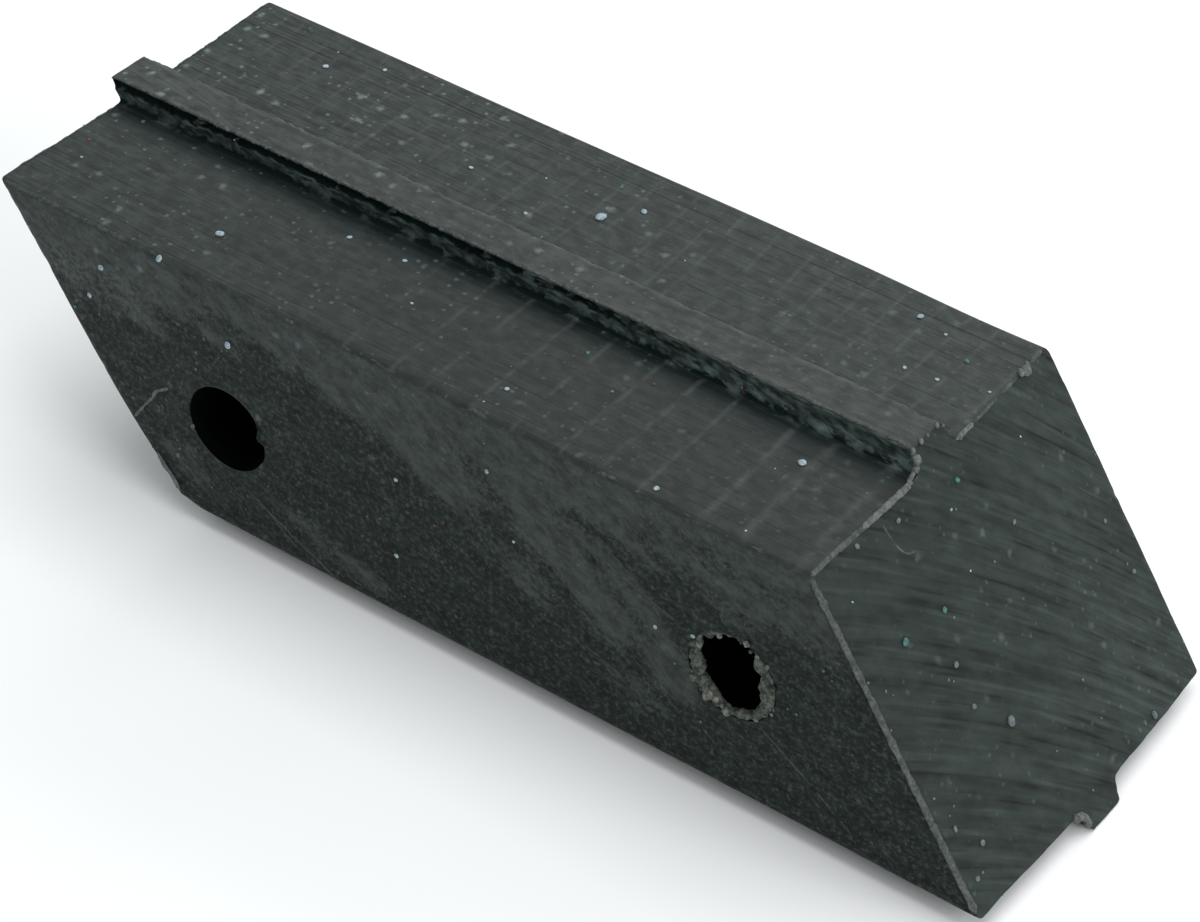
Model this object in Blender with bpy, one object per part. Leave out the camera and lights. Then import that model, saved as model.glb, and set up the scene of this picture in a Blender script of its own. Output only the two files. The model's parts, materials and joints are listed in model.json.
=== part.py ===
"""Rubber guide block: one solid bar of hard black rubber with a locating rib along its top and its
bottom, two bolt holes drilled across it from front to back, and both ends sawn at a slant.

Frame: +X along the block, +Y from the front face to the back face, +Z up. The origin is the middle
of the bounding box's underside, on the tip of the bottom rib. Units are metres.
"""

import math

import bmesh
import bpy

# Driving dimensions
LENGTH = 0.0800  # along the centre line, between the two sawn ends
DEPTH = 0.0341  # front face to back face
HEIGHT = 0.0254  # bottom ledges to top ledges, without the ribs
CORNER_RADIUS = 0.0006  # the four long outer edges

LEFT_LEAN = math.radians(34.7)  # the left end overhangs: its top reaches out over its bottom
RIGHT_LEAN = math.radians(33.7)  # the right end slopes back by nearly the same angle
RIGHT_SKEW = math.radians(-1.5)  # the right cut is a little out of square, seen from above

RIB_HEIGHT = 0.0016
RIB_TIP_WIDTH = 0.0043
RIB_DRAFT = math.radians(12)  # the rib's walls lean in by this much from upright
RIB_ROOT_RADIUS = 0.0008
RIB_TIP_RADIUS = 0.0003

HOLE_DIAMETER = 0.0080
LEFT_HOLE_X = -0.0249
LEFT_HOLE_RISE = -0.0020  # from mid-height
RIGHT_HOLE_X = 0.0257
RIGHT_HOLE_RISE = -0.0008
HOLE_SIDES = 32
CUTTER_OVERRUN = 0.004

CORNER_STEPS = 4
ROOT_STEPS = 4
TIP_STEPS = 3

# Worked out from the dimensions above
MID_Z = RIB_HEIGHT + HEIGHT / 2
HALF_TALL = HEIGHT / 2 + RIB_HEIGHT
LEFT_REACH = LENGTH / 2 + math.tan(LEFT_LEAN) * HALF_TALL
RIGHT_REACH = LENGTH / 2 + math.tan(RIGHT_LEAN) * HALF_TALL
CENTRING_SHIFT = (LEFT_REACH - RIGHT_REACH) / 2  # puts the bounding box's middle at X = 0


def material(name, color, roughness):
    made = bpy.data.materials.new(name)
    made.use_nodes = True
    shader = made.node_tree.nodes["Principled BSDF"]
    shader.inputs["Base Color"].default_value = (*color, 1.0)
    shader.inputs["Roughness"].default_value = roughness
    shader.inputs["Metallic"].default_value = 0.0
    return made


def arc(centre_y, centre_z, radius, start, end, steps):
    """Points (y, z) on an arc from angle start to angle end, both included."""
    angles = [start + (end - start) * i / steps for i in range(steps + 1)]
    return [(centre_y + radius * math.cos(a), centre_z + radius * math.sin(a)) for a in angles]


def right_half_of_top():
    """The outline (y, z) from the rib's middle out to the back edge, z measured from mid-height."""
    quarter = math.pi / 2
    ledge = HEIGHT / 2
    tip = HALF_TALL
    # The tip's rounding touches the top and the leaning wall
    tip_centre_y = RIB_TIP_WIDTH / 2 - RIB_TIP_RADIUS
    tip_centre_z = tip - RIB_TIP_RADIUS
    tip_arc = arc(tip_centre_y, tip_centre_z, RIB_TIP_RADIUS, quarter, RIB_DRAFT, TIP_STEPS)
    wall_y, wall_z = tip_arc[-1]
    # The root's hollow fillet touches the same wall and the ledge
    root_centre_z = ledge + RIB_ROOT_RADIUS
    foot_z = root_centre_z - RIB_ROOT_RADIUS * math.sin(RIB_DRAFT)
    foot_y = wall_y + (wall_z - foot_z) * math.tan(RIB_DRAFT)
    root_centre_y = foot_y + RIB_ROOT_RADIUS * math.cos(RIB_DRAFT)
    root_arc = arc(
        root_centre_y, root_centre_z, RIB_ROOT_RADIUS, math.pi + RIB_DRAFT, 3 * quarter, ROOT_STEPS
    )
    corner_y = DEPTH / 2 - CORNER_RADIUS
    corner_z = ledge - CORNER_RADIUS
    corner_arc = arc(corner_y, corner_z, CORNER_RADIUS, quarter, 0.0, CORNER_STEPS)
    return tip_arc + root_arc + corner_arc


def section():
    """The closed outline (y, z) of the block's cross-section, the same above and below and front to back."""
    top_back = right_half_of_top()
    bottom_back = [(y, -z) for y, z in reversed(top_back)]
    bottom_front = [(-y, -z) for y, z in top_back]
    top_front = [(-y, z) for y, z in reversed(top_back)]
    return top_back + bottom_back + bottom_front + top_front


def left_end_x(rise):
    return CENTRING_SHIFT - LENGTH / 2 - math.tan(LEFT_LEAN) * rise


def right_end_x(y, rise):
    return CENTRING_SHIFT + LENGTH / 2 - math.tan(RIGHT_LEAN) * rise + math.tan(RIGHT_SKEW) * y


def block_mesh():
    mesh = bpy.data.meshes.new("guide_block")
    bm = bmesh.new()
    outline = section()
    left = [bm.verts.new((left_end_x(z), y, MID_Z + z)) for y, z in outline]
    right = [bm.verts.new((right_end_x(y, z), y, MID_Z + z)) for y, z in outline]
    count = len(outline)
    for i in range(count):
        j = (i + 1) % count
        bm.faces.new((left[i], left[j], right[j], right[i]))
    bm.faces.new(list(reversed(left)))
    bm.faces.new(right)
    bmesh.ops.recalc_face_normals(bm, faces=bm.faces)
    bm.to_mesh(mesh)
    bm.free()
    return mesh


def cross_hole(name, x, rise):
    """A round cutter that runs through the block from front to back."""
    mesh = bpy.data.meshes.new(name)
    bm = bmesh.new()
    bmesh.ops.create_cone(
        bm,
        cap_ends=True,
        segments=HOLE_SIDES,
        radius1=HOLE_DIAMETER / 2,
        radius2=HOLE_DIAMETER / 2,
        depth=DEPTH + 2 * CUTTER_OVERRUN,
    )
    bm.to_mesh(mesh)
    bm.free()
    cutter = bpy.data.objects.new(name, mesh)
    cutter.rotation_euler = (math.pi / 2, 0.0, 0.0)
    cutter.location = (CENTRING_SHIFT + x, 0.0, MID_Z + rise)
    cutter.hide_render = True
    cutter.display_type = "WIRE"
    bpy.context.scene.collection.objects.link(cutter)
    return cutter


def guide_block():
    block = bpy.data.objects.new("guide_block", block_mesh())
    block.data.materials.append(material("hard_rubber", (0.032, 0.038, 0.037), 0.6))
    bpy.context.scene.collection.objects.link(block)
    cutters = [
        cross_hole("left_hole_cutter", LEFT_HOLE_X, LEFT_HOLE_RISE),
        cross_hole("right_hole_cutter", RIGHT_HOLE_X, RIGHT_HOLE_RISE),
    ]
    for cutter in cutters:
        cut = block.modifiers.new(cutter.name, "BOOLEAN")
        cut.operation = "DIFFERENCE"
        cut.solver = "EXACT"
        cut.object = cutter
    block.data.shade_smooth()
    block.data.set_sharp_from_angle(angle=math.radians(30))
    return block


def main():
    for old in list(bpy.data.objects):
        bpy.data.objects.remove(old, do_unlink=True)
    guide_block()
    bpy.context.view_layer.update()


main()
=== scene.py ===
"""Looks of the rubber guide block: the worn rubber body in fine mesh, its saw marks, torn rib wall,
drilled holes, burrs, tears and dust, with procedural materials, a pale floor and soft studio light.

Lengths in this script are in millimetres until a mesh is made, which turns them into metres. The
frame is the CAD part's: +X along the block, +Y from the front face to the back face, +Z up.
"""

import json
import math
import random

import bmesh
import bpy
import numpy as np
from mathutils import Euler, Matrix, Vector, geometry, noise
from mathutils.bvhtree import BVHTree


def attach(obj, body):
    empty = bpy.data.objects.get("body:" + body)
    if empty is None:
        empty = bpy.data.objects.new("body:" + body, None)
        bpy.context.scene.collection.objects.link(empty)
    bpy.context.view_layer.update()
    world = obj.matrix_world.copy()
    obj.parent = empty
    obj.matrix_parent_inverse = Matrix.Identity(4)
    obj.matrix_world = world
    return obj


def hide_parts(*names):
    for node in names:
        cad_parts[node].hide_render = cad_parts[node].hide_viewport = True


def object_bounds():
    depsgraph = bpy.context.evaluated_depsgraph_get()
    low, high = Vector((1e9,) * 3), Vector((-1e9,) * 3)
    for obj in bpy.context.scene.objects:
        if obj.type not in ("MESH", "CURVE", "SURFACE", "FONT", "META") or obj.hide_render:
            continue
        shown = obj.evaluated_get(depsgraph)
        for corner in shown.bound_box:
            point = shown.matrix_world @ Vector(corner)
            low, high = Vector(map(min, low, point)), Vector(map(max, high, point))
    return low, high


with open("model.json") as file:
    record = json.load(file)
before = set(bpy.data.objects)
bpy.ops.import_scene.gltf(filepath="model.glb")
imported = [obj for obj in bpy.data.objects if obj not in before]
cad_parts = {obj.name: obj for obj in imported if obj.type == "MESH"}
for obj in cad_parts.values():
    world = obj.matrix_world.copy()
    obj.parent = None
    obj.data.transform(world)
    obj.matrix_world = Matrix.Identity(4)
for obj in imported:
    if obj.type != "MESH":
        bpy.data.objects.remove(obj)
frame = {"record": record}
cad_low, cad_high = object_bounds()

MM = 0.001
BODY = "root"
NODE = "guide_block"

# Sizes and places that the CAD part states
MOUNTS = {m["name"]: [v / MM for v in m["pos_m"]] for m in frame["record"]["mounts"]}
HOLES = [
    [(low + high) / 2 / MM for low, high in zip(*opening["box_m"])]
    for opening in frame["record"]["physics"]["openings"]
]
FRONT_Y = MOUNTS["front_face"][1]
BACK_Y = MOUNTS["back_face"][1]
LEDGE_TOP = MOUNTS["top_ledge"][2]
LEDGE_BOTTOM = MOUNTS["bottom_ledge"][2]
RIB_RISE = MOUNTS["top_rib"][2] - LEDGE_TOP
MID_Z = (LEDGE_TOP + LEDGE_BOTTOM) / 2
HALF_HEIGHT = (LEDGE_TOP - LEDGE_BOTTOM) / 2
HALF_DEPTH = (BACK_Y - FRONT_Y) / 2
LEFT_END_X = cad_low.x / MM
RIGHT_END_X = cad_high.x / MM

# The same named dimensions as the CAD part's
LEFT_LEAN = math.radians(34.7)
RIGHT_LEAN = math.radians(33.7)
RIGHT_SKEW = math.radians(-1.5)
RIB_TIP_WIDTH = 4.3
RIB_DRAFT = math.radians(12)
RIB_ROOT_RADIUS = 0.8
RIB_TIP_RADIUS = 0.3
HOLE_RADIUS = 4.0
CORNER_RADIUS = 0.6

# What the saw, the drill and wear have done to it
SAW_BOW = 0.38
SAW_BOW_MIDDLE_Y = 1.0
SAW_BOW_REACH = 15.0
SAW_FALL = 0.96  # the saw's arcs drop by this much per millimetre of depth at the middle
SAW_CURVE = 0.0082  # and this much more per square millimetre
SAW_ACROSS = 0.72  # the share of a step down the end that is a step across the arcs
SAW_ALONG = 0.7
LEFT_BULGE = 0.18
LEFT_FOOT_WEAR = 0.75
LEFT_TIP_REACH = 0.5  # how far the top rib stands out of the left end
LEFT_CORNER_LIFT = 0.45
BACK_EDGE_WEAR = 0.35
EDGE_CHIP_DEPTH = 0.16
NICK_ANGLE = 16.0  # degrees up from the left hole's right side
SCORE_LINE_Y = 14.3
RUB_LINE_Y = 9.0
GROOVE_PLACE = 0.27  # of the way from the rib wall's tip edge to its foot
GROOVE_DEPTH = 0.36
CREASE_DEPTH = 0.2
FOOT_CREASE_Y = 2.88


def smooth(value, low, high):
    """0 below low, 1 above high and a smooth rise between; low may be the larger for a fall."""
    t = np.clip((np.asarray(value, float) - low) / (high - low), 0.0, 1.0)
    return t * t * (3.0 - 2.0 * t)


def hump(value, centre, half_width):
    """1 at centre, falling smoothly to 0 at half_width from it."""
    return smooth(np.abs(np.asarray(value, float) - centre), half_width, 0.0)


def lumps(points, size, seed=0):
    """Smooth noise from about -1 to 1 at each point. Size is the lumps' size along X, Y and Z."""
    sx, sy, sz = size
    shift = 31.7 * seed
    return np.array(
        [noise.noise(Vector((x / sx + shift, y / sy - shift, z / sz))) for x, y, z in points]
    )


# ---------------------------------------------------------------- the body's mesh


def saw_bow(y):
    """How far the saw's cut bows to the right at a depth y."""
    return SAW_BOW * np.clip(1 - ((y - SAW_BOW_MIDDLE_Y) / SAW_BOW_REACH) ** 2, 0, None)


def left_x(y, rise):
    """X of the sawn left end at a depth y and a height rise above the middle."""
    plane = LEFT_END_X + math.tan(LEFT_LEAN) * (HALF_HEIGHT + RIB_RISE - rise)
    bulge = LEFT_BULGE * np.clip(1 - ((rise + 1.5) / 8) ** 2, 0, None)
    near_front = smooth(y, FRONT_Y + 13, FRONT_Y + 2)
    worn_foot = LEFT_FOOT_WEAR * smooth(rise, -3.5, -12.7) * near_front
    tip = LEFT_TIP_REACH * smooth(rise, HALF_HEIGHT, HALF_HEIGHT + RIB_RISE * 0.5)
    return plane + saw_bow(y) - bulge + worn_foot - tip


def right_x(y, rise):
    """X of the sawn right end."""
    plane = RIGHT_END_X - math.tan(RIGHT_LEAN) * (HALF_HEIGHT + RIB_RISE + rise)
    return plane + saw_bow(y) + math.tan(RIGHT_SKEW) * y


def spaced(start, end, step):
    """Numbers from start to end, both included, about step apart."""
    count = max(2, int(round(abs(end - start) / step)) + 1)
    return np.linspace(start, end, count)


def arc(centre_y, centre_z, radius, start, end, steps):
    """Points (y, z) on an arc from angle start to angle end, both included."""
    angles = np.linspace(start, end, steps + 1)
    return np.stack([centre_y + radius * np.cos(angles), centre_z + radius * np.sin(angles)], 1)


def half_outline(ledge_step, wall_step):
    """One half of the ribbed face's outline from the rib's middle to the outer edge: y and height
    above the block's middle, with each point's place on the rib's wall, 0 at its tip edge and 1 at
    its foot, or -1 off the wall."""
    quarter = math.pi / 2
    tip = HALF_HEIGHT + RIB_RISE
    tip_y = RIB_TIP_WIDTH / 2 - RIB_TIP_RADIUS
    tip_arc = arc(tip_y, tip - RIB_TIP_RADIUS, RIB_TIP_RADIUS, quarter, RIB_DRAFT, 4)
    flat_y = spaced(0.0, tip_y, 0.24)[:-1]
    flat = np.stack([flat_y, np.full_like(flat_y, tip)], 1)
    wall_y, wall_z = tip_arc[-1]
    root_z = HALF_HEIGHT + RIB_ROOT_RADIUS
    foot_z = root_z - RIB_ROOT_RADIUS * math.sin(RIB_DRAFT)
    foot_y = wall_y + (wall_z - foot_z) * math.tan(RIB_DRAFT)
    root_y = foot_y + RIB_ROOT_RADIUS * math.cos(RIB_DRAFT)
    wall_heights = spaced(wall_z, foot_z, wall_step)[1:-1]
    wall = np.stack([wall_y + (wall_z - wall_heights) * math.tan(RIB_DRAFT), wall_heights], 1)
    root_steps = max(6, int(1.1 / wall_step))
    root = arc(root_y, root_z, RIB_ROOT_RADIUS, math.pi + RIB_DRAFT, 3 * quarter, root_steps)
    corner_y = HALF_DEPTH - CORNER_RADIUS
    ledge_y = spaced(root_y, corner_y, ledge_step)[1:-1]
    ledge = np.stack([ledge_y, np.full_like(ledge_y, HALF_HEIGHT)], 1)
    corner = arc(corner_y, HALF_HEIGHT - CORNER_RADIUS, CORNER_RADIUS, quarter, 0.0, 5)
    points = np.concatenate([flat, tip_arc, wall, root, ledge, corner])
    place = np.clip((tip - points[:, 1]) / RIB_RISE, 0.0, 1.0)
    place[: len(flat)] = -1.0
    place[len(points) - len(corner) - len(ledge) :] = -1.0
    return points, place


def ribbed_outline(side, ledge_step, wall_step):
    """The whole outline of the top (side 1) or the bottom (side -1), from front to back."""
    half, place = half_outline(ledge_step, wall_step)
    back = half * [1, side]
    front = half[:0:-1] * [-1, side]
    return np.concatenate([front, back]), np.concatenate([place[:0:-1], place])


WELD_STEP = 0.0005
FILL_INSIDE = 1  # Blender's number for leaving out the triangles outside the loop


class Shell:
    """Collects patches that share their edges, and welds them into one mesh."""

    def __init__(self):
        self.points = []
        self.faces = []
        self.kinds = []
        self.walls = []
        self.count = 0

    def add(self, points, faces, kind, wall=None):
        """Kind is the patch's material index. Wall is each point's place on a rib's wall."""
        points = np.asarray(points, float).reshape(-1, 3)
        self.points.append(points)
        self.walls.append(np.full(len(points), -1.0) if wall is None else np.asarray(wall, float))
        self.faces += [[i + self.count for i in face] for face in faces]
        self.kinds += [kind] * len(faces)
        self.count += len(points)

    def weld(self):
        points = np.concatenate(self.points)
        walls = np.concatenate(self.walls)
        keys = np.round(points / WELD_STEP).astype(np.int64)
        _, first, inverse = np.unique(keys, axis=0, return_index=True, return_inverse=True)
        inverse = inverse.reshape(-1)
        wall = np.full(len(first), -1.0)
        np.maximum.at(wall, inverse, walls)
        faces, kinds = [], []
        for face, kind in zip(self.faces, self.kinds):
            joined = list(dict.fromkeys(int(inverse[i]) for i in face))
            if len(joined) > 2:
                faces.append(joined)
                kinds.append(kind)
        return points[first], faces, kinds, wall


def grid_faces(rows, columns):
    """Quads over a grid of points stored row by row."""
    return [
        (r * columns + c, r * columns + c + 1, (r + 1) * columns + c + 1, (r + 1) * columns + c)
        for r in range(rows - 1)
        for c in range(columns - 1)
    ]


def filled(loops, inner):
    """Triangles that fill the first closed loop of 2-D points around the other loops, with the
    inner points among their corners."""
    flat = [Vector(p) for loop in loops for p in loop] + [Vector(p) for p in inner]
    edges = []
    start = 0
    for loop in loops:
        edges += [(start + i, start + (i + 1) % len(loop)) for i in range(len(loop))]
        start += len(loop)
    found = geometry.delaunay_2d_cdt(flat, edges, [], FILL_INSIDE, 1e-6)
    return np.array([tuple(v) for v in found[0]]), [tuple(f) for f in found[2]]


def staggered(low, high, step):
    """Points of a triangular grid over the rectangle from low to high."""
    rows = np.arange(low[1], high[1], step * 0.87)
    points = []
    for i, v in enumerate(rows):
        shift = step / 2 if i % 2 else 0.0
        points += [(u, v) for u in np.arange(low[0] + shift, high[0], step)]
    return np.array(points)


KIND_SKIN, KIND_SAWN, KIND_BORE = 0, 1, 2
TOP_COLUMNS, BOTTOM_COLUMNS = 330, 150
HOLE_SEGMENTS, HOLE_RINGS = 88, 44
MOUTH_RINGS = (0.16, 0.4, 0.72)  # rings of points round each mouth, so far from its rim
MOUTH_CLEAR = 1.1
RIM_SHARE = 0.995  # triangles whose middle lies nearer a hole's axis than this are left out
FILL_MARGIN = 0.45  # of a step, between the points inside a patch and its edge
SHARP_ANGLE = math.radians(48)


def add_ribbed_face(shell, side, columns, ledge_step, wall_step):
    """The top or the bottom, swept from the left end to the right end. Returns its outline."""
    outline, place = ribbed_outline(side, ledge_step, wall_step)
    share = np.linspace(0.0, 1.0, columns)
    y, rise = outline[:, 0], outline[:, 1]
    start = left_x(y, rise)
    end = right_x(y, rise)
    x = start[None, :] + share[:, None] * (end - start)[None, :]
    points = np.stack([x, np.broadcast_to(y, x.shape), np.broadcast_to(rise + MID_Z, x.shape)], -1)
    walls = np.broadcast_to(place, x.shape)
    shell.add(points, grid_faces(columns, len(outline)), KIND_SKIN, walls.reshape(-1))
    return outline


def edge_across(y, rise, columns):
    """Points (x, rise) along a plain face's edge at height rise, from its left end to its right."""
    left, right = left_x(y, rise), right_x(y, rise)
    return [(left + s * (right - left), rise) for s in np.linspace(0, 1, columns)]


def hole_ring(centre, radius):
    angles = np.arange(HOLE_SEGMENTS) * 2 * math.pi / HOLE_SEGMENTS
    return [(centre[0] + radius * math.cos(a), centre[1] + radius * math.sin(a)) for a in angles]


def add_plain_face(shell, y, rises, step):
    """The front or the back face with its two hole mouths."""
    top, bottom = rises[0], rises[-1]
    left = [(left_x(y, r), r) for r in rises[1:-1]]
    right = [(right_x(y, r), r) for r in rises[1:-1]]
    over = edge_across(y, top, TOP_COLUMNS)
    under = edge_across(y, bottom, BOTTOM_COLUMNS)
    loop = over + right + under[::-1] + left[::-1]
    centres = [(x, z - MID_Z) for x, _, z in HOLES]
    rings = [hole_ring(c, HOLE_RADIUS) for c in centres]
    inner = staggered((left_x(y, top), bottom), (right_x(y, bottom), top), step)
    margin = step * FILL_MARGIN
    u, v = inner[:, 0], inner[:, 1]
    keep = (u > left_x(y, v) + margin) & (u < right_x(y, v) - margin)
    keep &= (v > bottom + margin) & (v < top - margin)
    for cx, cz in centres:
        keep &= np.hypot(u - cx, v - cz) > HOLE_RADIUS + MOUTH_CLEAR
    lips = [p for c in centres for r in MOUTH_RINGS for p in hole_ring(c, HOLE_RADIUS + r)]
    flat, faces = filled([loop] + rings, np.concatenate([inner[keep], lips]))
    middles = flat[np.array(faces)].mean(1)
    outside = np.ones(len(faces), bool)
    for cx, cz in centres:
        outside &= np.hypot(middles[:, 0] - cx, middles[:, 1] - cz) > HOLE_RADIUS * RIM_SHARE
    faces = [f for f, good in zip(faces, outside) if good]
    points = np.stack([flat[:, 0], np.full(len(flat), y), flat[:, 1] + MID_Z], 1)
    shell.add(points, faces, KIND_SKIN)


def add_bore(shell, centre):
    """The wall of one cross hole. Its rings lie closer together near both mouths."""
    share = np.linspace(0, math.pi, HOLE_RINGS)
    depths = FRONT_Y + (1 - np.cos(share)) / 2 * (BACK_Y - FRONT_Y)
    ring = np.array(hole_ring(centre, HOLE_RADIUS))
    ring = np.concatenate([ring, ring[:1]])
    points = [[(x, y, rise + MID_Z) for x, rise in ring] for y in depths]
    shell.add(points, grid_faces(HOLE_RINGS, HOLE_SEGMENTS + 1), KIND_BORE)


def add_end(shell, end_x, top, bottom, rises, step):
    """One sawn end, filled inside the block's whole section."""
    front = [(FRONT_Y, r) for r in rises[1:-1]]
    back = [(BACK_Y, r) for r in rises[1:-1]]
    loop = [tuple(p) for p in top] + back + [tuple(p) for p in bottom[::-1]] + front[::-1]
    inner = staggered((FRONT_Y, -HALF_HEIGHT), (BACK_Y, HALF_HEIGHT), step)
    clear_of_sides = np.abs(inner[:, 0]) < HALF_DEPTH - CORNER_RADIUS * 0.6
    keep = clear_of_sides & (np.abs(inner[:, 1]) < HALF_HEIGHT - step * FILL_MARGIN)
    flat, faces = filled([loop], inner[keep])
    x = np.array([end_x(y, r) for y, r in flat])
    points = np.stack([x, flat[:, 0], flat[:, 1] + MID_Z], 1)
    shell.add(points, faces, KIND_SAWN)


def body_shell():
    """The body's mesh, finest on the faces that the photo shows."""
    shell = Shell()
    top = add_ribbed_face(shell, 1, TOP_COLUMNS, 0.46, 0.085)
    bottom = add_ribbed_face(shell, -1, BOTTOM_COLUMNS, 0.7, 0.2)
    rises = spaced(top[0][1], bottom[0][1], 0.42)
    add_plain_face(shell, FRONT_Y, rises, 0.52)
    add_plain_face(shell, BACK_Y, rises, 0.8)
    for x, _, z in HOLES:
        add_bore(shell, (x, z - MID_Z))
    add_end(shell, left_x, top, bottom, rises, 0.38)
    add_end(shell, right_x, top, bottom, rises, 0.33)
    return shell.weld()


def new_object(name, points, faces, materials):
    """A mesh object from points in millimetres."""
    mesh = bpy.data.meshes.new(name)
    mesh.from_pydata([tuple(p) for p in np.asarray(points) * MM], [], faces)
    for m in materials:
        mesh.materials.append(m)
    made = bpy.data.objects.new(name, mesh)
    bpy.context.scene.collection.objects.link(made)
    return made


def tidy_normals(made):
    bm = bmesh.new()
    bm.from_mesh(made.data)
    bmesh.ops.recalc_face_normals(bm, faces=bm.faces)
    bm.to_mesh(made.data)
    bm.free()


def read_vectors(items, name):
    values = np.zeros(len(items) * 3)
    items.foreach_get(name, values)
    return values.reshape(-1, 3)


def saw_grooves(y, rise, lean):
    """Height of the saw marks on an end: like arcs one above the other, deeper and shallower at
    random."""
    slope = rise / math.cos(lean)
    level = SAW_ACROSS * (slope + SAW_FALL * y + SAW_CURVE * y * y)
    flat = np.stack([level, SAW_ALONG * (y - slope), np.zeros_like(level)], 1)
    coarse = lumps(flat, (0.8, 26, 1), 3)
    middle = lumps(flat, (0.45, 15, 1), 4)
    gouges = smooth(lumps(flat, (0.5, 17, 1), 5), 0.3, 0.62)
    return 0.04 * coarse + 0.015 * middle - 0.05 * gouges


def rounded(points, gap_a, out_a, gap_b, out_b, radius, where):
    """Rounds the edge between two faces. Each gap is how deep a point lies under a face, and each
    out is the way that face looks."""
    u = np.where(where, radius - gap_a, 0.0)
    v = np.where(where, radius - gap_b, 0.0)
    reach = np.hypot(u, v)
    beyond = (u > 0) & (v > 0) & (reach > radius)
    share = np.where(beyond, 1 - radius / np.maximum(reach, 1e-9), 0.0)
    return points - share[:, None] * (u[:, None] * out_a + v[:, None] * out_b)


def round_ends(points):
    """Rounds the edges of both sawn ends, as handling wears them: more on the left end, and at the
    lower front corner of the right end."""
    uneven = 1 + 0.45 * lumps(points, (1.6, 1.6, 1.6), 21)
    anywhere = np.ones(len(points), bool)
    tip = HALF_HEIGHT + RIB_RISE
    for side, end_x, lean in ((-1, left_x, LEFT_LEAN), (1, right_x, RIGHT_LEAN)):
        x, y, rise = points[:, 0], points[:, 1], points[:, 2] - MID_Z
        end_gap = side * (end_x(y, rise) - x) * math.cos(lean)
        end_out = np.array([side * math.cos(lean), 0.0, math.sin(lean)])
        off_rib = np.abs(y) > RIB_TIP_WIDTH / 2 + 1.0
        low = smooth(rise, -7, -12.5)
        front = (0.34 + 0.45 * low) * uneven if side > 0 else 0.4 + 0.12 * uneven
        back = 0.25 * uneven if side > 0 else 0.6 * uneven
        sides = (
            (y - FRONT_Y, (0, -1, 0), front, anywhere),
            (BACK_Y - y, (0, 1, 0), back, anywhere),
            (HALF_HEIGHT - rise, (0, 0, 1), 0.26 * uneven, off_rib),
            (HALF_HEIGHT + rise, (0, 0, -1), 0.34 * uneven, off_rib),
            (tip - rise, (0, 0, 1), 0.3 * uneven, ~off_rib),
            (tip + rise, (0, 0, -1), 0.3 * uneven, ~off_rib),
        )
        for gap, out, radius, where in sides:
            points = rounded(points, end_gap, end_out, gap, np.array(out, float), radius, where)
    return points


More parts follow.
